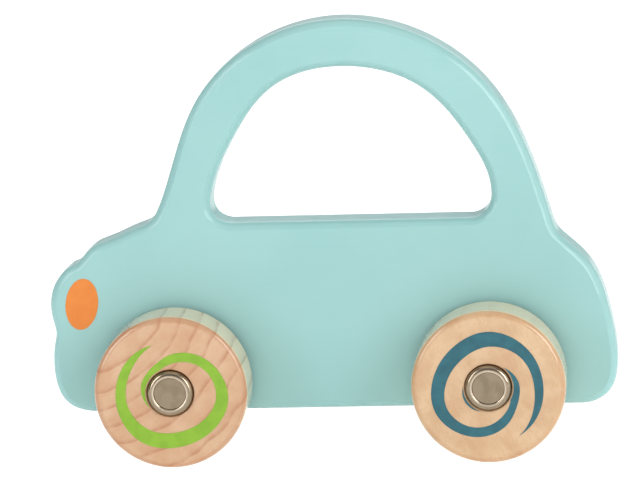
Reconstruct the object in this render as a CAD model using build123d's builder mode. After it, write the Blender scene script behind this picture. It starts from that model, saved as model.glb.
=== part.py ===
"""Toy grab car: a painted wooden board on four wooden wheels, with a pull-back spring motor on the rear axle.

Frame, in millimetres: +Z is up and Z = 0 is the ground. The origin lies midway between the axles, in the
middle of the board's thickness. The nose points along -X, so the car's left side is the -Y side.
"""

import os
from math import acos, atan2, cos, degrees, pi, radians, sin, tan

from build123d import *

LEFT, RIGHT = -1, 1
SIDE_NAMES = {LEFT: "left", RIGHT: "right"}

# Whole car
wheelbase = 82.5
axle_height = 20.0
axle_radius = 1.5
front_x, rear_x = -wheelbase / 2, wheelbase / 2
running_gap = 0.05
side_gap = 0.1

# Painted board
board_thickness = 14.0
board_face = board_thickness / 2
# Its rims are rounded over, then each face is sanded down by the skim, which leaves a fine crease at the round
board_round = 2.8
board_skim = 0.18
underside = 11.6
ink = 0.08

# Wheels and washers, measured outward from the middle of the board
wheel_radius = 20.0
wheel_width = 16.0
wheel_round = 1.8
washer_radius = 4.5
washer_thickness = 0.8
washer_inner = board_face + side_gap
wheel_inner = washer_inner + washer_thickness + side_gap
wheel_outer = wheel_inner + wheel_width
recess_radius = 6.1
recess_depth = 2.6
recess_round = 0.4

# Hub caps: pressed metal, a rounded shoulder about a sunken flat disc, with a socket for the axle
cap_radius = 6.0
cap_sheet = 0.5
cap_proud = 1.3
cap_shoulder = 1.4
cap_lip = 0.5
cap_sink = 0.65
cap_socket_wall = 0.8
cap_crest = wheel_outer + cap_proud
cap_disc = cap_crest - cap_sink
cap_back = wheel_outer - recess_depth + side_gap
axle_end = cap_disc - cap_sheet - running_gap
axle_chamfer = 0.3

# Curling band on each wheel: (turn in degrees, inner radius, outer radius), then its tail beside the hub cap and
# where its inner edge tucks under the cap
curl = [
    (38, 11.7, 14.0),
    (83, 11.7, 14.5),
    (128, 11.2, 15.1),
    (165, 10.5, 14.4),
    (203, 11.0, 14.6),
    (240, 12.0, 15.2),
    (278, 11.1, 13.7),
    (308, 9.4, 12.0),
    (338, 7.6, 10.0),
    (358, 6.7, 8.7),
]
curl_tail = [(383, 8.0), (413, 7.8), (443, 7.1), (470, 6.4)]
curl_tuck = (385, 5.6)
curl_clear = 6.55
# How each pair is printed: the bearing that turn is counted from, the point of the band as (turn, radius),
# and how far the print sits off the hub
curl_bearing = {"front": 112, "rear": 322}
curl_point = {"front": (-4, 13.4), "rear": (-21, 14.4)}
curl_shift = {"front": (0, 0), "rear": (0.2, -0.45)}
# The rear prints also show a sliver below the hub cap, where a disc of ink peeps out: (bearing, offset, radius)
rear_sliver = (215, 2.1, 5.0)

# Headlights: tilted ovals, centred at (x, z), with half width and half height
headlight_at = (-65.8, 40.8)
headlight_half = (4.3, 6.85)
headlight_tilt = 8.3

# Spring motor case. Places in the motor are (along, up) from the rear axle, along being +X.
case_half_length = 11.5
case_low, case_high = -6.4, 14.5
case_half_width = 6.8
case_wall = 1.2
case_cavity = case_half_width - case_wall
case_corner = 2.0
pocket_gap = 0.15
post_radius = 1.6
posts = [(9.2, 12.2), (9.0, -4.1), (-9.0, -4.1)]
socket_depth = 0.8
shaft_reach = case_cavity + socket_depth
axle_boss_radius, axle_boss_length = 2.2, 3.2

# Gear train: the rear axle's pinion, a double transfer gear and the spring gear
module = 0.5
pressure_angle = radians(25)
addendum = 0.8 * module
dedendum = 1.0 * module
backlash = 0.12
flank_steps = 5
axle_teeth, transfer_teeth, transfer_pinion_teeth, spring_teeth = 12, 20, 10, 22
axle_to_transfer = module * (axle_teeth + transfer_teeth) / 2
transfer_to_spring = module * (transfer_pinion_teeth + spring_teeth) / 2
axle_at = (0.0, 0.0)
transfer_at = (3.8, (axle_to_transfer**2 - 3.8**2) ** 0.5)
spring_at = (transfer_at[0] - transfer_to_spring, transfer_at[1])
drive_layer, drive_width = -5.3, 2.4
spring_layer, spring_width = -2.7, 2.2
transfer_shaft_radius = 0.75
transfer_hub_radius = 1.6
spring_hub_radius = 2.2
hub_gap = 0.2
transfer_swing = 7
arbor_radius = 1.2
arbor_flat = 0.8

# Spring drum and mainspring
drum_radius = 5.9
drum_wall = 0.7
drum_floor = 0.5
drum_to = 4.6
lid_thickness = 0.6
lid_spigot = 0.4
coil_thickness = 0.22
coil_turns = 5
coil_inner = 1.7
points_per_turn = 12

# Cover plate under the motor, in a shallow recess
plate_half_length, plate_half_width = 18.5, 4.3
plate_thickness = 1.0
plate_corner = 2.0
plate_screw_offset = 15.2
plate_recess_top = axle_height + case_low - side_gap

# Fasteners
mount_screw_radius, mount_head_radius, mount_head, mount_length = 1.1, 2.1, 0.7, 9.0
case_screw_radius, case_head_radius, case_head, case_length = 0.6, 1.15, 0.8, 10.4
case_head_seat = case_half_width - case_head - side_gap
mount_head_chamfer = 0.3
drive_slot_width, drive_slot_depth = 0.4, 0.35


# ---------------------------------------------------------------------------------------------------------
# Helpers
# ---------------------------------------------------------------------------------------------------------


def save(part, label):
    """Name a finished piece and write it."""
    part.label = label
    export_step(part, f"parts/{label}.step")


def face_plane(side, axle_x, out):
    """A plane facing outward on one side of the car, `out` from its middle, centred on an axle."""
    return Plane(origin=(axle_x, side * out, axle_height), x_dir=(-side, 0, 0), z_dir=(0, side, 0))


def radial_plane(side, axle_x):
    """A plane through an axle: its x is the radius, its y the distance outward from the car's middle."""
    return Plane(origin=(axle_x, 0, axle_height), x_dir=(0, 0, 1), z_dir=(-side, 0, 0))


def axle_line(axle_x):
    return Axis((axle_x, 0, axle_height), (0, 1, 0))


def motor_plane(y, place=(0, 0)):
    """A plane across the motor at y, centred on a motor place. It faces left; its x is +X and its y is +Z."""
    return Plane(origin=(rear_x + place[0], y, axle_height + place[1]), x_dir=(1, 0, 0), z_dir=(0, -1, 0))


def disc(place, radius, y_from, y_to, mode=Mode.ADD):
    """A round solid across the motor, added to or cut from the part being built."""
    with BuildSketch(motor_plane(y_from, place)) as circle:
        Circle(radius)
    extrude(circle.sketch, amount=y_from - y_to, mode=mode)


def direction(start, end):
    """Angle of the line from one motor place to another."""
    return atan2(end[1] - start[1], end[0] - start[0])


# ---------------------------------------------------------------------------------------------------------
# Board and its headlight prints
# ---------------------------------------------------------------------------------------------------------


def flow(*points, start, end):
    """A smooth curve through the points, leaving along start and arriving along end."""
    return Spline(*points, tangents=(start, end), tangent_scalars=(1, 1))


def board_outline():
    """The car's silhouette, anticlockwise from the front of the underside."""
    bottom = Line((-63, underside), (65, underside))
    boot = flow(
        bottom @ 1, (71.8, 14.5), (74.4, 24.0), (72.5, 36.8), (68.2, 48.2), (61.0, 55.6),
        start=(1, 0), end=(-0.75, 0.66),
    )
    rear_screen_base = JernArc(boot @ 1, boot % 1, 9, -33)
    roof = flow(
        rear_screen_base @ 1, (52.4, 78.5), (42.5, 96.3), (25.0, 109.7), (4.0, 114.3), (-17.0, 109.0),
        (-33.6, 94.0), (-41.2, 75.5), (-45.4, 64.4),
        start=rear_screen_base % 1, end=(-0.44, -0.9),
    )
    windscreen_base = JernArc(roof @ 1, roof % 1, 6.5, -48)
    hood = flow(
        windscreen_base @ 1, (-57.8, 57.6), (-63.5, 55.0), (-66.6, 51.6),
        start=windscreen_base % 1, end=(-0.71, -0.7),
    )
    hood_notch = JernArc(hood @ 1, hood % 1, 3.0, -26)
    lamp_bulge = flow(
        hood_notch @ 1, (-72.4, 47.0), (-74.4, 40.4), (-73.5, 34.6),
        start=hood_notch % 1, end=(0.27, -0.96),
    )
    bumper_notch = JernArc(lamp_bulge @ 1, lamp_bulge % 1, 6.5, -30)
    flow(
        bumper_notch @ 1, (-74.2, 24.0), (-70.8, 14.0), bottom @ 0,
        start=bumper_notch % 1, end=(1, 0),
    )


def window_outline():
    """The D-shaped grip window, anticlockwise from the front of the sill."""
    sill = Line((-25.5, 61.4), (37.0, 61.4))
    rear_corner = flow(sill @ 1, (41.6, 64.0), (42.4, 70.0), start=(1, 0), end=(-0.12, 0.99))
    arch = flow(
        rear_corner @ 1, (38.0, 80.6), (25.0, 95.9), (5.0, 101.8), (-13.0, 97.3), (-25.0, 82.8), (-30.9, 68.0),
        start=rear_corner % 1, end=(-0.15, -0.99),
    )
    flow(arch @ 1, (-30.0, 63.4), sill @ 0, start=arch % 1, end=(1, 0))


os.makedirs("parts", exist_ok=True)

with BuildPart() as board:
    with BuildSketch(Plane.XZ.offset(-board_face - board_skim)):
        with BuildLine():
            board_outline()
        make_face()
        with BuildLine():
            window_outline()
        make_face(mode=Mode.SUBTRACT)
    extrude(amount=board_thickness + 2 * board_skim)
    rims = board.faces().group_by(Axis.Y)
    fillet(rims[0].edges() + rims[-1].edges(), board_round)
    Box(3 * wheelbase, board_thickness, 3 * wheelbase, mode=Mode.INTERSECT)
    # Bore for the front axle
    with BuildSketch(face_plane(LEFT, front_x, board_face)):
        Circle(axle_radius + running_gap)
    extrude(amount=-board_thickness, mode=Mode.SUBTRACT)
    # Notch across the underside for the spring motor, hidden by the rear wheels
    notch_half = case_half_length + pocket_gap
    notch_top = case_high + pocket_gap
    with BuildSketch(motor_plane(-board_face)):
        with BuildLine():
            Polyline(
                (-notch_half, -axle_height),
                (notch_half, -axle_height),
                (notch_half, notch_top),
                (-notch_half, notch_top),
                close=True,
            )
        make_face()
        fillet(vertices().group_by(Axis.Y)[-1], case_corner)
    extrude(amount=-board_thickness, mode=Mode.SUBTRACT)
    # Shallow recess for the cover plate, and the holes for its screws
    with BuildSketch(Plane((rear_x, 0, plate_recess_top))):
        Rectangle(2 * (plate_half_length + pocket_gap), 2 * (plate_half_width + pocket_gap))
        fillet(vertices(), plate_corner)
    extrude(amount=-axle_height, mode=Mode.SUBTRACT)
    with BuildSketch(Plane((rear_x, 0, plate_recess_top))):
        with Locations((-plate_screw_offset, 0), (plate_screw_offset, 0)):
            Circle(mount_screw_radius)
    extrude(amount=mount_length - plate_thickness, mode=Mode.SUBTRACT)
save(board.part, "body_board")

for side in (LEFT, RIGHT):
    with BuildPart() as headlight:
        with BuildSketch(Plane((0, side * board_face, 0), x_dir=(1, 0, 0), z_dir=(0, -1, 0))):
            with Locations(headlight_at):
                Ellipse(*headlight_half, rotation=-headlight_tilt)
        extrude(amount=-side * ink)
    save(headlight.part, f"{SIDE_NAMES[side]}_headlight_print")


# ---------------------------------------------------------------------------------------------------------
# Axles, washers, wheels, prints and hub caps
# ---------------------------------------------------------------------------------------------------------


def make_axle(axle_x):
    with BuildPart() as axle:
        with BuildSketch(face_plane(RIGHT, axle_x, -axle_end)):
            Circle(axle_radius)
        extrude(amount=2 * axle_end)
        chamfer(axle.edges().filter_by(GeomType.CIRCLE), axle_chamfer)
    return axle.part


def make_washer(side, axle_x):
    with BuildPart() as washer:
        with BuildSketch(face_plane(side, axle_x, washer_inner)):
            Circle(washer_radius)
            Circle(axle_radius + side_gap, mode=Mode.SUBTRACT)
        extrude(amount=washer_thickness)
    return washer.part


def make_wheel(side, axle_x, bore):
    with BuildPart() as wheel:
        with BuildSketch(radial_plane(side, axle_x)):
            with BuildLine():
                Polyline(
                    (bore, wheel_inner),
                    (wheel_radius, wheel_inner),
                    (wheel_radius, wheel_outer),
                    (recess_radius, wheel_outer),
                    (recess_radius, wheel_outer - recess_depth),
                    (bore, wheel_outer - recess_depth),
                    close=True,
                )
            make_face()
            recess_wall = vertices().filter_by_position(Axis.X, recess_radius, recess_radius)
            fillet(recess_wall.sort_by(Axis.Y)[-1], recess_round)
            fillet(vertices().group_by(Axis.X)[-1], wheel_round)
        revolve(axis=axle_line(axle_x))
    return wheel.part


def make_curl(side, axle_x, end):
    """The curling band of ink, running anticlockwise inward from its point to the hub."""
    off_x, off_z = curl_shift[end]

    def at(turn, radius):
        angle = radians(curl_bearing[end] + turn)
        return (off_x + radius * cos(angle), off_z + radius * sin(angle))

    with BuildPart() as print_film:
        with BuildSketch(face_plane(side, axle_x, wheel_outer)):
            with BuildLine():
                point = at(*curl_point[end])
                near_edge = [at(turn, near) for turn, near, far in curl]
                far_edge = [at(turn, far) for turn, near, far in curl]
                inner = Spline(point, *near_edge, at(*curl_tuck))
                outer = Spline(point, *far_edge, *[at(*row) for row in curl_tail])
                Polyline(outer @ 1, (0, 0), inner @ 1)
            make_face()
            if end == "rear":
                bearing, offset, radius = rear_sliver
                with Locations((offset * cos(radians(bearing)), offset * sin(radians(bearing)))):
                    Circle(radius)
            Circle(curl_clear, mode=Mode.SUBTRACT)
        extrude(amount=ink)
    return print_film.part


def make_hub_cap(side, axle_x):
    socket_radius = axle_radius + cap_socket_wall
    inside = cap_disc - cap_sheet
    crest_radius = cap_radius - cap_shoulder
    with BuildPart() as cap:
        with BuildSketch(radial_plane(side, axle_x)):
            with BuildLine():
                skirt = Line((cap_radius, cap_back), (cap_radius, cap_crest - cap_shoulder))
                shoulder = JernArc(skirt @ 1, (0, 1), cap_shoulder, 90)
                lip = JernArc(shoulder @ 1, (-1, 0), cap_lip, 90)
                Polyline(
                    lip @ 1,
                    (crest_radius - cap_lip, cap_disc),
                    (0, cap_disc),
                    (0, inside),
                    (axle_radius, inside),
                    (axle_radius, cap_back),
                    (socket_radius, cap_back),
                    (socket_radius, inside),
                    (cap_radius - cap_sheet, inside),
                    (cap_radius - cap_sheet, cap_back),
                    skirt @ 0,
                )
            make_face()
        revolve(axis=axle_line(axle_x))
    return cap.part


for end, axle_x, wheel_bore in (
    ("front", front_x, axle_radius + running_gap),
    ("rear", rear_x, axle_radius),
):
    save(make_axle(axle_x), f"{end}_axle")
    for side in (LEFT, RIGHT):
        corner = f"{end}_{SIDE_NAMES[side]}"
        save(make_washer(side, axle_x), f"{corner}_washer")
        save(make_wheel(side, axle_x, wheel_bore), f"{corner}_wheel")
        save(make_curl(side, axle_x, end), f"{corner}_wheel_print")
        save(make_hub_cap(side, axle_x), f"{corner}_hub_cap")


# ---------------------------------------------------------------------------------------------------------
# Gear train
# ---------------------------------------------------------------------------------------------------------


def involute(angle):
    return tan(angle) - angle


def gear_outline(teeth, first_tooth):
    """A closed involute gear profile with a tooth centred at the angle first_tooth."""
    pitch_radius = module * teeth / 2
    base_radius = pitch_radius * cos(pressure_angle)
    tip_radius = pitch_radius + addendum
    root_radius = pitch_radius - dedendum
    half_at_pitch = pi / (2 * teeth) - backlash / (4 * pitch_radius)

    def half_angle(radius):
        """Half the angle that a tooth fills at a radius. The flank is radial inside the base circle."""
        flank = acos(base_radius / max(radius, base_radius))
        return half_at_pitch + involute(pressure_angle) - involute(flank)

    steps = range(flank_steps + 1)
    radii = [root_radius + (tip_radius - root_radius) * step / flank_steps for step in steps]
    rise = [(radius, -half_angle(radius)) for radius in radii]
    fall = [(radius, half_angle(radius)) for radius in reversed(radii)]
    middles = [first_tooth + 2 * pi * tooth / teeth for tooth in range(teeth)]
    Polyline(
        *[
            (radius * cos(middle + turn), radius * sin(middle + turn))
            for middle in middles
            for radius, turn in rise + fall
        ],
        close=True,
    )


def teeth_ring(place, teeth, first_tooth, y_from, width):
    """A toothed disc across the motor, added to the part being built."""
    with BuildSketch(motor_plane(y_from, place)) as profile:
        with BuildLine():
            gear_outline(teeth, first_tooth)
        make_face()
    extrude(profile.sketch, amount=-width)


def meshed(teeth, toward_other, other_teeth, other_first):
    """Angle of a tooth that puts this gear in mesh with one that has a tooth at other_first."""
    toward_this = toward_other + pi
    return toward_other + pi / teeth - (other_first - toward_this) * other_teeth / teeth


axle_first = 0.0
transfer_first = meshed(transfer_teeth, direction(transfer_at, axle_at), axle_teeth, axle_first)
spring_first = meshed(spring_teeth, direction(spring_at, transfer_at), transfer_pinion_teeth, transfer_first)

drive_to = drive_layer + drive_width
spring_to = spring_layer + spring_width
hub_left, hub_right = hub_gap - case_cavity, case_cavity - hub_gap

with BuildPart() as drive_pinion:
    teeth_ring(axle_at, axle_teeth, axle_first, drive_layer, drive_width)
    disc(axle_at, axle_radius, drive_layer, drive_to, Mode.SUBTRACT)
save(drive_pinion.part, "drive_pinion")

with BuildPart() as transfer_gear:
    teeth_ring(transfer_at, transfer_teeth, transfer_first, drive_layer, drive_width)
    disc(transfer_at, transfer_hub_radius, hub_left, hub_right)
    teeth_ring(transfer_at, transfer_pinion_teeth, transfer_first, spring_layer, spring_width)
    disc(transfer_at, transfer_shaft_radius + running_gap, hub_left, hub_right, Mode.SUBTRACT)
save(transfer_gear.part, "transfer_gear")

with BuildPart() as spring_drum:
    disc(spring_at, spring_hub_radius, hub_left, spring_layer)
    teeth_ring(spring_at, spring_teeth, spring_first, spring_layer, spring_width)
    disc(spring_at, drum_radius, spring_to, drum_to)
    disc(spring_at, drum_radius - drum_wall, spring_to + drum_floor, drum_to, Mode.SUBTRACT)
    disc(spring_at, arbor_radius + running_gap, hub_left, drum_to, Mode.SUBTRACT)
save(spring_drum.part, "spring_drum")

with BuildPart() as drum_lid:
    disc(spring_at, drum_radius, drum_to, drum_to + lid_thickness)
    disc(spring_at, drum_radius - drum_wall, drum_to - lid_spigot, drum_to)
    disc(spring_at, arbor_radius + running_gap, drum_to - lid_spigot, drum_to + lid_thickness, Mode.SUBTRACT)
save(drum_lid.part, "spring_drum_lid")

with BuildPart() as mainspring:
    coil_outer = drum_radius - drum_wall - coil_thickness
    coil_steps = range(coil_turns * points_per_turn + 1)

    def coil(offset):
        """One face of the coiled strip, as points from its inner end to its outer end."""
        points = []
        for step in coil_steps:
            angle = 2 * pi * step / points_per_turn
            radius = coil_inner + offset + (coil_outer - coil_inner) * step / coil_steps[-1]
            points.append((radius * cos(angle), radius * sin(angle)))
        return points

    with BuildSketch(motor_plane(spring_to + drum_floor + side_gap, spring_at)):
        with BuildLine():
            near = Spline(*coil(0))
            far = Spline(*coil(coil_thickness))
            Line(near @ 0, far @ 0)
            Line(near @ 1, far @ 1)
        make_face()
    extrude(amount=spring_to + drum_floor + 2 * side_gap - drum_to + lid_spigot)
save(mainspring.part, "mainspring")

with BuildPart() as transfer_shaft:
    disc(transfer_at, transfer_shaft_radius, -shaft_reach, shaft_reach)
save(transfer_shaft.part, "transfer_shaft")

with BuildPart() as spring_arbor:
    disc(spring_at, arbor_radius, -shaft_reach, shaft_reach)
    # A flat on the left end keeps it from turning in the case
    with BuildSketch(motor_plane(-shaft_reach, spring_at)) as flat:
        with Locations((0, arbor_flat + arbor_radius)):
            Rectangle(2 * arbor_radius, 2 * arbor_radius)
    extrude(flat.sketch, amount=case_cavity - shaft_reach, mode=Mode.SUBTRACT)
save(spring_arbor.part, "spring_arbor")


# ---------------------------------------------------------------------------------------------------------
# Motor case, its cover plate and the screws
# ---------------------------------------------------------------------------------------------------------


def case_sketch(inset):
    """The case's outline, drawn smaller by inset, on the car's middle plane."""
    with BuildSketch(motor_plane(0, (0, (case_low + case_high) / 2))) as outline:
        Rectangle(2 * (case_half_length - inset), case_high - case_low - 2 * inset)
        fillet(vertices(), case_corner - inset)
    return outline.sketch


def make_case_half(side):
    """One shell of the motor case, open towards the car's middle."""
    with BuildPart() as shell:
        extrude(case_sketch(0), amount=-side * case_half_width)
        extrude(case_sketch(case_wall), amount=-side * case_cavity, mode=Mode.SUBTRACT)
        for post in posts:
            disc(post, post_radius, 0, side * case_cavity)
        # Bearings for the rear axle
        if side == RIGHT:
            disc(axle_at, axle_boss_radius, case_cavity - axle_boss_length, case_cavity)
        disc(axle_at, axle_radius + running_gap, 0, side * case_half_width, Mode.SUBTRACT)
        # Blind sockets: a curved one in which the transfer shaft can float, and one for the arbor
        with BuildSketch(motor_plane(side * case_cavity, spring_at)) as float_slot:
            with BuildLine() as swing:
                toward_transfer = degrees(direction(spring_at, transfer_at))
                CenterArc((0, 0), transfer_to_spring, toward_transfer, transfer_swing)
            SlotArc(swing.edge(), 2 * transfer_shaft_radius)
        extrude(float_slot.sketch, amount=-side * socket_depth, mode=Mode.SUBTRACT)
        with BuildSketch(motor_plane(side * case_cavity, spring_at)) as arbor_socket:
            Circle(arbor_radius)
            if side == LEFT:
                with Locations((0, arbor_flat + arbor_radius)):
                    Rectangle(2 * arbor_radius, 2 * arbor_radius, mode=Mode.SUBTRACT)
        extrude(arbor_socket.sketch, amount=-side * socket_depth, mode=Mode.SUBTRACT)
        # Screw holes, from heads sunk in the left shell
        for post in posts:
            if side == LEFT:
                disc(post, case_head_radius + side_gap, -case_half_width, -case_head_seat, Mode.SUBTRACT)
                disc(post, case_screw_radius + running_gap, -case_half_width, 0, Mode.SUBTRACT)
            else:
                disc(post, case_screw_radius, 0, case_length - case_head_seat, Mode.SUBTRACT)
    return shell.part


for side in (LEFT, RIGHT):
    save(make_case_half(side), f"motor_case_{SIDE_NAMES[side]}")

with BuildPart() as case_screws:
    for post in posts:
        disc(post, case_screw_radius, -case_head_seat, case_length - case_head_seat)
        disc(post, case_head_radius, -case_head_seat - case_head, -case_head_seat)
        with BuildSketch(motor_plane(-case_head_seat - case_head, post)) as drive_slot:
            Rectangle(2 * case_head_radius, drive_slot_width)
        extrude(drive_slot.sketch, amount=-drive_slot_depth, mode=Mode.SUBTRACT)
save(case_screws.part, "case_screws")

plate_screw_places = [(-plate_screw_offset, 0), (plate_screw_offset, 0)]
plate_low = plate_recess_top - plate_thickness

with BuildPart() as motor_plate:
    with BuildSketch(Plane((rear_x, 0, plate_low))):
        Rectangle(2 * plate_half_length, 2 * plate_half_width)
        fillet(vertices(), plate_corner)
        with Locations(*plate_screw_places):
            Circle(mount_screw_radius + running_gap, mode=Mode.SUBTRACT)
    extrude(amount=plate_thickness)
save(motor_plate.part, "motor_plate")

with BuildPart() as mount_screws:
    with BuildSketch(Plane((rear_x, 0, plate_low))):
        with Locations(*plate_screw_places):
            Circle(mount_screw_radius)
    extrude(amount=mount_length)
    with BuildSketch(Plane((rear_x, 0, plate_low))):
        with Locations(*plate_screw_places):
            Circle(mount_head_radius)
    extrude(amount=-mount_head)
    chamfer(mount_screws.edges().group_by(Axis.Z)[0].filter_by(GeomType.CIRCLE), mount_head_chamfer)
    with BuildSketch(Plane((rear_x, 0, plate_low - mount_head))):
        with Locations(*plate_screw_places):
            Rectangle(2 * mount_head_radius, drive_slot_width)
            Rectangle(drive_slot_width, 2 * mount_head_radius)
    extrude(amount=drive_slot_depth, mode=Mode.SUBTRACT)
save(mount_screws.part, "mount_screws")
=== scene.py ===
import math

import bmesh
import bpy
from mathutils import Matrix, Vector


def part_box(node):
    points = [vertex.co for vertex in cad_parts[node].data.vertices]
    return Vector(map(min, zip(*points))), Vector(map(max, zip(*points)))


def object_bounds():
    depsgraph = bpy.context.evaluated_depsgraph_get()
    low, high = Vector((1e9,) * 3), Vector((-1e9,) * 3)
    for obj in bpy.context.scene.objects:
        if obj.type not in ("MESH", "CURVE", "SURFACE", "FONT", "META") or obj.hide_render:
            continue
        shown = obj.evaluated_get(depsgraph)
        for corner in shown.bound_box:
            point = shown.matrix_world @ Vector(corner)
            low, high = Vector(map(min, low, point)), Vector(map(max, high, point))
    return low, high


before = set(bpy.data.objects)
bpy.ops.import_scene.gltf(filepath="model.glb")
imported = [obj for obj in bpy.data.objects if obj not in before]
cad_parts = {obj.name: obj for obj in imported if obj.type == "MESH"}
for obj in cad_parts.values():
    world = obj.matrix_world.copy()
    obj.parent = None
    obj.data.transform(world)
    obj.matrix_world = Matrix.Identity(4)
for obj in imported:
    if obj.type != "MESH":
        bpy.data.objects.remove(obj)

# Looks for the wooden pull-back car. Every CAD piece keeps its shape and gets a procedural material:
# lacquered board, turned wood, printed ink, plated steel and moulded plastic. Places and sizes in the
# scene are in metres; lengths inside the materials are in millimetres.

cad_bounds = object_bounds()
MM = 0.001

# Sizes of the CAD pieces that the materials follow, in millimetres from the hub
wheel_radius = 20.0
cap_disc_radius = 4.1
cap_crest_radius = 4.6


def centre(node):
    """Middle of a CAD node's box."""
    low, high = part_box(node)
    return (low + high) / 2


# ---------------------------------------------------------------------------------------------------------
# Shader building
# ---------------------------------------------------------------------------------------------------------


def srgb(red, green, blue):
    """A display colour, 0 to 255, as the linear colour that shaders take."""

    def linear(value):
        value /= 255
        return value / 12.92 if value <= 0.04045 else ((value + 0.055) / 1.055) ** 2.4

    return (linear(red), linear(green), linear(blue), 1.0)


def grey(value):
    """A neutral linear colour."""
    return (value, value, value, 1)


class Nodes:
    """A node tree being built. Its methods add nodes and return their outputs."""

    def __init__(self, tree):
        self.tree = tree

    def put(self, socket, value):
        """Link an output to a socket, or set the socket's own value."""
        if isinstance(value, bpy.types.NodeSocket):
            self.tree.links.new(value, socket)
        else:
            socket.default_value = value

    def add(self, kind, inputs, output=0, **settings):
        """A node of any kind, with its inputs by name or number."""
        node = self.tree.nodes.new(kind)
        for name, value in settings.items():
            setattr(node, name, value)
        for key, value in inputs.items():
            self.put(node.inputs[key], value)
        return node.outputs[output]

    def math(self, operation, *values):
        """The result of one operation on numbers."""
        return self.add("ShaderNodeMath", dict(enumerate(values)), operation=operation)

    def mix(self, share, first, second):
        """The first colour with a share of the second laid over it."""
        inputs = {0: share, 6: first, 7: second}
        return self.add("ShaderNodeMix", inputs, output=2, data_type="RGBA")


class Shader(Nodes):
    """A node material round one Principled BSDF, with the patterns that the finishes share."""

    def __init__(self, name):
        self.material = bpy.data.materials.new(name)
        self.material.use_nodes = True
        super().__init__(self.material.node_tree)
        self.surface = self.tree.nodes["Principled BSDF"]

    def place(self, origin=(0, 0, 0), turn=(0, 0, 0)):
        """Millimetres from an origin given in metres, in axes turned by the Euler angles given in degrees.

        Object coordinates stay with the piece as its body turns."""
        metres = self.add("ShaderNodeTexCoord", {}, output="Object")
        moved = self.add("ShaderNodeMapping", {"Vector": metres, "Location": -Vector(origin)})
        angles = [math.radians(degrees) for degrees in turn]
        settings = {"Vector": moved, "Rotation": angles, "Scale": (1 / MM, 1 / MM, 1 / MM)}
        return self.add("ShaderNodeMapping", settings)

    def stretch(self, place, x, y, z):
        """The place measured in steps of x, y and z millimetres, so that a pattern of size 1 fills them."""
        return self.add("ShaderNodeMapping", {"Vector": place, "Scale": (1 / x, 1 / y, 1 / z)})

    def noise(self, place, size=1.0, detail=2.0, roughness=0.5, distortion=0.0):
        """Soft noise from 0 to 1 with lumps of about the given size in millimetres."""
        inputs = {"Vector": place, "Scale": 1 / size, "Detail": detail}
        inputs.update({"Roughness": roughness, "Distortion": distortion})
        return self.add("ShaderNodeTexNoise", inputs)

    def ease(self, value, low, high, start=0.0, end=1.0):
        """The value taken smoothly from low..high to start..end."""
        inputs = {"Value": value, "From Min": low, "From Max": high, "To Min": start, "To Max": end}
        return self.add("ShaderNodeMapRange", inputs, interpolation_type="SMOOTHSTEP")

    def bump(self, height, depth, normal=None):
        """Relief whose full range is a depth in millimetres."""
        inputs = {"Height": height, "Distance": depth * MM}
        if normal is not None:
            inputs["Normal"] = normal
        return self.add("ShaderNodeBump", inputs)

    def distance(self, place, point):
        """How far a place is from a line along Y through a point, in millimetres."""
        offset = self.add("ShaderNodeVectorMath", {0: place, 1: point}, operation="SUBTRACT")
        flat = self.add("ShaderNodeVectorMath", {0: offset, 1: (1, 0, 1)}, operation="MULTIPLY")
        return self.add("ShaderNodeVectorMath", {0: flat}, output=1, operation="LENGTH")

    def done(self, **inputs):
        """Set the surface's inputs, named with underscores for spaces, and return the material."""
        for name, value in inputs.items():
            self.put(self.surface.inputs[name.replace("_", " ")], value)
        return self.material


# ---------------------------------------------------------------------------------------------------------
# Finishes
# ---------------------------------------------------------------------------------------------------------


def lacquer():
    """Satin mint enamel on a sanded board: soft clouds of tone, a trace of the grain, orange peel."""
    shader = Shader("mint_lacquer")
    place = shader.place()
    clouds = shader.noise(place, size=38, detail=3)
    tone = shader.mix(shader.ease(clouds, 0.3, 0.7), srgb(151, 192, 191), srgb(156, 196, 195))
    grain = shader.noise(shader.stretch(place, 24, 3, 0.7), detail=3, distortion=0.4)
    tone = shader.mix(shader.ease(grain, 0.35, 0.75, 0.0, 0.05), tone, srgb(134, 188, 188))
    peel = shader.noise(place, size=1.3, detail=1)
    relief_depth = 0.012
    relief = shader.bump(grain, relief_depth)
    relief = shader.bump(peel, relief_depth, relief)
    sheen = shader.ease(shader.noise(place, size=6, detail=2), 0.3, 0.7, 0.42, 0.5)
    return shader.done(
        Base_Color=tone,
        Roughness=sheen,
        Normal=relief,
        Specular_IOR_Level=0.15,
        Coat_Weight=0.45,
        Coat_Roughness=0.07,
    )


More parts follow.
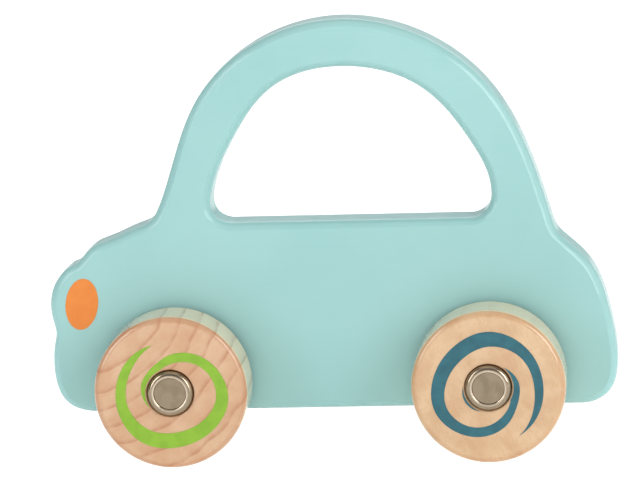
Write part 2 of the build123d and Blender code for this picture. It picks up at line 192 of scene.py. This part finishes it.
def turned_wood(name, hub, pale, warm, line, pith, spacing, line_share, fibre_share, fleck_share):
    """Varnished wood turned from a board: year rings round a pith beside the wheel, fibres and flecks.

    The pith's place is given from the hub, across and up. The shares say how far each mark goes from the
    wood's own tone to the line colour."""
    shader = Shader(name)
    place = shader.place(hub)
    pith_across, pith_up = pith

    # Year rings: each is a soft darkening that ends in a thin line of late wood
    reach = shader.distance(place, (pith_across, 0, pith_up))
    wander = shader.noise(shader.stretch(place, 1, 4, 1), size=13, detail=2)
    rings = shader.math("ADD", shader.math("DIVIDE", reach, spacing), wander)
    year = shader.math("FRACT", rings)
    darkening = shader.ease(year, 0.72, 0.95)
    clearing = shader.ease(year, 0.95, 1.0, 1.0, 0.0)
    late_wood = shader.math("MULTIPLY", darkening, clearing)
    broken = shader.ease(shader.noise(place, size=4, detail=2), 0.35, 0.65, 0.25 * line_share, line_share)
    soft_year = shader.ease(year, 0.2, 0.95, 0.0, 0.2 * line_share)

    # Fibres and flecks run along the rings
    grain_turn = math.degrees(math.atan2(pith_up, pith_across)) - 90
    along_grain = shader.place(hub, (0, grain_turn, 0))
    fibres = shader.noise(shader.stretch(along_grain, 5, 1.5, 0.25), detail=4, roughness=0.6)
    flecks = shader.noise(shader.stretch(along_grain, 0.9, 0.3, 0.22), detail=1)
    patches = shader.noise(place, size=8, detail=3)

    # The rounded edge is painted darker in a ring, and the tread is painted pale as a painted highlight for
    # the light and the mint reflected on it
    radius = shader.distance(place, (0, 0, 0))
    ring_rise = shader.ease(radius, wheel_radius - 1.8, wheel_radius - 0.6)
    ring_fade = shader.ease(radius, wheel_radius - 0.5, wheel_radius - 0.05, 1.0, 0.35)
    edge = shader.math("MULTIPLY", ring_rise, ring_fade)
    edge_share = 0.3
    # Painted highlight: the tread is painted near white, standing in for the light falling on it and the
    # mint it reflects
    tread = shader.ease(radius, wheel_radius - 0.2, wheel_radius, 0.0, 0.8)
    tread_highlight_tone = srgb(250, 238, 204)

    tone = shader.mix(shader.ease(patches, 0.35, 0.65), pale, warm)
    tone = shader.mix(tread, tone, tread_highlight_tone)
    tone = shader.mix(shader.ease(fibres, 0.35, 0.7, 0.0, fibre_share), tone, line)
    tone = shader.mix(soft_year, tone, line)
    tone = shader.mix(shader.math("MULTIPLY", late_wood, broken), tone, line)
    tone = shader.mix(shader.ease(flecks, 0.6, 0.72, 0.0, fleck_share), tone, line)
    tone = shader.mix(shader.math("MULTIPLY", edge, edge_share), tone, line)

    relief = shader.bump(fibres, 0.03)
    relief = shader.bump(flecks, 0.012, relief)
    return shader.done(
        Base_Color=tone,
        Roughness=shader.ease(fibres, 0.3, 0.7, 0.36, 0.46),
        Normal=relief,
        Coat_Weight=1.0,
        Coat_Roughness=0.08,
    )


def ink(name, colour, deep, hub, spread):
    """Screen-printed ink: an even film that sinks a little into the fibres."""
    shader = Shader(name)
    place = shader.place(hub)
    fibres = shader.noise(shader.stretch(place, 5, 1, 0.35), detail=3)
    blotches = shader.noise(place, size=3.5, detail=2)
    tone = shader.mix(shader.ease(blotches, 0.3, 0.7), colour, deep)
    tone = shader.mix(shader.ease(fibres, 0.45, 0.8, 0.0, spread), tone, deep)
    return shader.done(
        Base_Color=tone,
        Roughness=shader.ease(fibres, 0.3, 0.7, 0.42, 0.52),
        Normal=shader.bump(fibres, 0.02),
        Coat_Weight=0.15,
        Coat_Roughness=0.3,
    )


def metal(name, colour, dull, roughness, scratch, lump=3.0):
    """Metal with fine drawing or rolling marks, and a faint haze that changes its tone and gloss."""
    shader = Shader(name)
    place = shader.place()
    marks = shader.noise(shader.stretch(place, 4, 0.12, 0.12), detail=3)
    haze = shader.noise(place, size=lump, detail=3)
    tone = shader.mix(shader.ease(haze, 0.35, 0.7), colour, dull)
    return shader.done(
        Base_Color=tone,
        Metallic=1.0,
        Roughness=shader.ease(haze, 0.3, 0.7, roughness, roughness + 0.1),
        Normal=shader.bump(marks, scratch),
    )


def plated_cap(hubs):
    """Nickel plate: the disc and shoulder in the plain tone, and between them the bead, painted lighter as
    a painted highlight and made a little rougher.
    """
    shader = Shader("nickel_plate")
    place = shader.place()
    reaches = [shader.distance(shader.place(hub), (0, 0, 0)) for hub in hubs]
    radius = shader.math("MINIMUM", *reaches)
    inner_side = shader.ease(radius, cap_disc_radius, cap_disc_radius + 0.3)
    outer_side = shader.ease(radius, cap_crest_radius - 0.2, cap_crest_radius + 0.3, 1.0, 0.1)
    bead_highlight = shader.math("MULTIPLY", inner_side, outer_side)
    bead_roughness = 0.08
    haze = shader.noise(place, size=3, detail=3)
    tone = shader.mix(shader.ease(haze, 0.35, 0.7), srgb(156, 142, 124), srgb(144, 131, 113))
    # Painted highlight: the bead ring is painted in a lighter tone than the rest of the plate
    tone = shader.mix(bead_highlight, tone, srgb(210, 196, 178))
    roughness = shader.ease(haze, 0.3, 0.7, 0.16, 0.26)
    marks = shader.noise(shader.stretch(place, 4, 0.12, 0.12), detail=3)
    return shader.done(
        Base_Color=tone,
        Metallic=1.0,
        Roughness=shader.math("ADD", roughness, shader.math("MULTIPLY", bead_highlight, bead_roughness)),
        Normal=shader.bump(marks, 0.003),
    )


def blued_spring():
    """Tempered spring steel: straw to blue oxide in slow bands."""
    shader = Shader("blued_spring")
    place = shader.place()
    oxide = shader.noise(place, size=3, detail=2)
    tone = shader.mix(shader.ease(oxide, 0.35, 0.65), srgb(64, 74, 104), srgb(118, 98, 76))
    marks = shader.noise(shader.stretch(place, 2, 0.08, 2), detail=2)
    return shader.done(Base_Color=tone, Metallic=1.0, Roughness=0.3, Normal=shader.bump(marks, 0.004))


def moulded(name, colour, shade, roughness, grain_depth, glow=0.0):
    """Injection-moulded plastic: fine spark-eroded texture, slight flow streaks, soft light inside."""
    shader = Shader(name)
    place = shader.place()
    flow = shader.noise(shader.stretch(place, 5, 5, 2), detail=2)
    texture = shader.noise(place, size=0.25, detail=2)
    tone = shader.mix(shader.ease(flow, 0.3, 0.7), colour, shade)
    return shader.done(
        Base_Color=tone,
        Roughness=shader.ease(texture, 0.3, 0.7, roughness, roughness + 0.12),
        Normal=shader.bump(texture, grain_depth),
        Subsurface_Weight=glow,
        Subsurface_Radius=(1.0, 0.9, 0.8),
        Subsurface_Scale=0.6 * MM,
    )


front_hub = centre("front_axle")
rear_hub = centre("rear_axle")
lamp_place = centre("left_headlight_print")

finishes = {
    "body_paint": lacquer(),
    "headlight_ink": ink("orange_ink", srgb(220, 136, 62), srgb(216, 130, 57), lamp_place, 0.3),
    "front_wood": turned_wood(
        "beech",
        front_hub,
        pale=srgb(203, 169, 138),
        warm=srgb(196, 156, 122),
        line=srgb(168, 108, 70),
        pith=(-23, 28),
        spacing=5.0,
        line_share=0.55,
        fibre_share=0.12,
        fleck_share=0.22,
    ),
    "rear_wood": turned_wood(
        "maple",
        rear_hub,
        pale=srgb(208, 179, 144),
        warm=srgb(197, 163, 127),
        line=srgb(178, 126, 82),
        pith=(60, 24),
        spacing=9,
        line_share=0.12,
        fibre_share=0.17,
        fleck_share=0.42,
    ),
    "front_ink": ink("green_ink", srgb(139, 180, 54), srgb(128, 169, 49), front_hub, 0.5),
    "rear_ink": ink("teal_ink", srgb(48, 107, 119), srgb(42, 95, 107), rear_hub, 0.3),
    "cap_metal": plated_cap([front_hub, rear_hub]),
    "steel": metal("bright_steel", srgb(200, 200, 200), srgb(176, 176, 178), 0.25, 0.006),
    "spring_steel": blued_spring(),
    "zinc_screw": metal("zinc_plate", srgb(206, 208, 204), srgb(176, 180, 184), 0.28, 0.004, lump=1.2),
    "plate_steel": metal("rolled_plate", srgb(186, 188, 190), srgb(160, 163, 166), 0.32, 0.008),
    "motor_case": moulded("case_plastic", srgb(40, 42, 46), srgb(34, 35, 39), 0.42, 0.02),
    "gear_plastic": moulded("acetal", srgb(238, 236, 226), srgb(228, 226, 214), 0.3, 0.006, glow=0.3),
    "drum_plastic": moulded("orange_plastic", srgb(226, 104, 40), srgb(212, 92, 34), 0.34, 0.01, glow=0.15),
    "washer_plastic": moulded("nylon", srgb(232, 230, 220), srgb(220, 216, 204), 0.36, 0.008, glow=0.3),
}

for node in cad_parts.values():
    for slot in node.material_slots:
        slot.material = finishes[slot.name]


# ---------------------------------------------------------------------------------------------------------
# Studio: a white paper floor, soft boxes, a bright room and the camera
# ---------------------------------------------------------------------------------------------------------

low, high = cad_bounds
middle = (low + high) / 2
floor_radius = 5.0
white = grey(1)


def paper():
    """White paper that glows a little, and is painted slightly greyer close to the car as a painted shadow,
    which the hub caps and low edges mirror.

    The camera sees it lifted to near white, with only a trace of the contact shadow.
    From below it is clear, so that the underside can be looked at."""
    shader = Shader("studio_paper")
    place = shader.place()
    fibre = shader.noise(place, size=2, detail=2)
    away = shader.add("ShaderNodeVectorMath", {0: place}, output=1, operation="LENGTH")
    # Painted shadow: the paper is darker near the car than far from it
    painted_shadow_tone = shader.mix(shader.ease(fibre, 0.3, 0.7), grey(0.80), grey(0.84))
    far_tone = grey(0.86)
    near_edge, far_edge = 90, 520
    shader.done(
        Base_Color=shader.mix(shader.ease(away, near_edge, far_edge), painted_shadow_tone, far_tone),
        Roughness=0.9,
        Specular_IOR_Level=0.1,
        Emission_Color=white,
        Emission_Strength=0.36,
    )
    lift = shader.add("ShaderNodeEmission", {"Color": white, "Strength": 0.85})
    shadow_trace = shader.add("ShaderNodeBsdfDiffuse", {"Color": grey(0.3)})
    seen = shader.add("ShaderNodeAddShader", {0: lift, 1: shadow_trace})
    from_camera = shader.add("ShaderNodeLightPath", {}, output="Is Camera Ray")
    shown = shader.add("ShaderNodeMixShader", {0: from_camera, 1: shader.surface.outputs[0], 2: seen})
    from_below = shader.add("ShaderNodeNewGeometry", {}, output="Backfacing")
    clear = shader.add("ShaderNodeBsdfTransparent", {})
    one_sided = shader.add("ShaderNodeMixShader", {0: from_below, 1: shown, 2: clear})
    shader.put(shader.tree.nodes["Material Output"].inputs["Surface"], one_sided)
    return shader.material


def paper_floor():
    """A wide disc of paper that the car stands on."""
    mesh = bmesh.new()
    bmesh.ops.create_circle(mesh, cap_ends=True, segments=96, radius=floor_radius)
    data = bpy.data.meshes.new("studio_floor")
    mesh.to_mesh(data)
    mesh.free()
    data.transform(Matrix.Translation((0, 0, low.z)))
    data.materials.append(paper())
    floor = bpy.data.objects.new("studio_floor", data)
    bpy.context.scene.collection.objects.link(floor)


def bearing(azimuth, elevation):
    """Unit vector from the car toward a light or the camera, from angles in radians."""
    level = math.cos(elevation)
    return Vector((math.sin(azimuth) * level, -math.cos(azimuth) * level, math.sin(elevation)))


def soft_box(name, azimuth, elevation, distance, width, height, power, colour):
    """A rectangular light that faces the car. Azimuth 0 is the camera's side (-Y) and 90 is +X."""
    direction = bearing(math.radians(azimuth), math.radians(elevation))
    light = bpy.data.lights.new(name, "AREA")
    light.shape = "RECTANGLE"
    light.size, light.size_y = width, height
    light.energy = power
    light.color = colour
    box = bpy.data.objects.new(name, light)
    box.location = middle + direction * distance
    box.rotation_euler = direction.to_track_quat("Z", "Y").to_euler()
    bpy.context.scene.collection.objects.link(box)


def room_light():
    """Soft light from the whole room, brightest behind the car. The camera sees plain white."""
    world = bpy.data.worlds.new("room")
    world.use_nodes = True
    room = Nodes(world.node_tree)
    direction = room.add("ShaderNodeTexCoord", {}, output="Generated")
    toward_back = room.add("ShaderNodeSeparateXYZ", {0: direction}, output="Y")
    across_room = room.add("ShaderNodeMapRange", {"Value": toward_back, "From Min": 0.1, "From Max": 0.8})
    front_wall = grey(0.26)
    back_wall = (0.44, 0.45, 0.46, 1)
    walls = room.mix(across_room, front_wall, back_wall)
    from_camera = room.add("ShaderNodeLightPath", {}, output="Is Camera Ray")
    seen = room.mix(from_camera, walls, white)
    room.put(room.tree.nodes["Background"].inputs["Color"], seen)
    bpy.context.scene.world = world


def studio_camera():
    """A long lens from the car's left, a little toward the tail and above, rolled slightly."""
    distance = 1.1
    azimuth, elevation, roll = (math.radians(degrees) for degrees in (5.14, 9.51, -2.04))
    lens, sensor = 236.7, 36.0
    aim = middle + Vector((-3.4 * MM, 0, -1.7 * MM))
    back = bearing(azimuth, elevation)
    right = Vector((math.cos(azimuth), math.sin(azimuth), 0))
    up = back.cross(right)
    rolled_right = right * math.cos(roll) + up * math.sin(roll)
    rolled_up = up * math.cos(roll) - right * math.sin(roll)
    data = bpy.data.cameras.new("studio_camera")
    data.lens = lens
    data.sensor_width = sensor
    data.clip_start = 0.01
    camera = bpy.data.objects.new("studio_camera", data)
    axes = Matrix((rolled_right, rolled_up, back)).transposed()
    camera.matrix_world = Matrix.Translation(aim + back * distance) @ axes.to_4x4()
    bpy.context.scene.collection.objects.link(camera)
    bpy.context.scene.camera = camera


neutral = (1, 1, 1)
cream = (1.0, 0.98, 0.93)
straw = (1.0, 0.97, 0.88)
amber = (1.0, 0.95, 0.84)

# Name, azimuth and elevation in degrees, distance, width and height in metres, power in watts, colour
soft_boxes = [
    ("right_box", 52, 22, 1.3, 0.42, 0.9, 6.4, neutral),
    ("left_box", -52, 21, 1.3, 0.42, 0.9, 5.0, neutral),
    ("key_box", 2, 58, 2.4, 3.0, 0.8, 3.5, cream),
    ("front_box", 2, 3, 1.5, 1.4, 0.5, 2.1, neutral),
    ("back_box", 176, 28, 1.5, 1.4, 0.8, 4.7, neutral),
    ("top_box", 0, 86, 1.3, 1.2, 0.8, 2.2, amber),
    ("wall_box", 88, 12, 1.5, 1.2, 1.2, 4.2, straw),
]

paper_floor()
for box_settings in soft_boxes:
    soft_box(*box_settings)
room_light()
studio_camera()
bpy.context.scene.view_settings.view_transform = "Standard"
bpy.context.scene.view_settings.look = "Medium High Contrast"
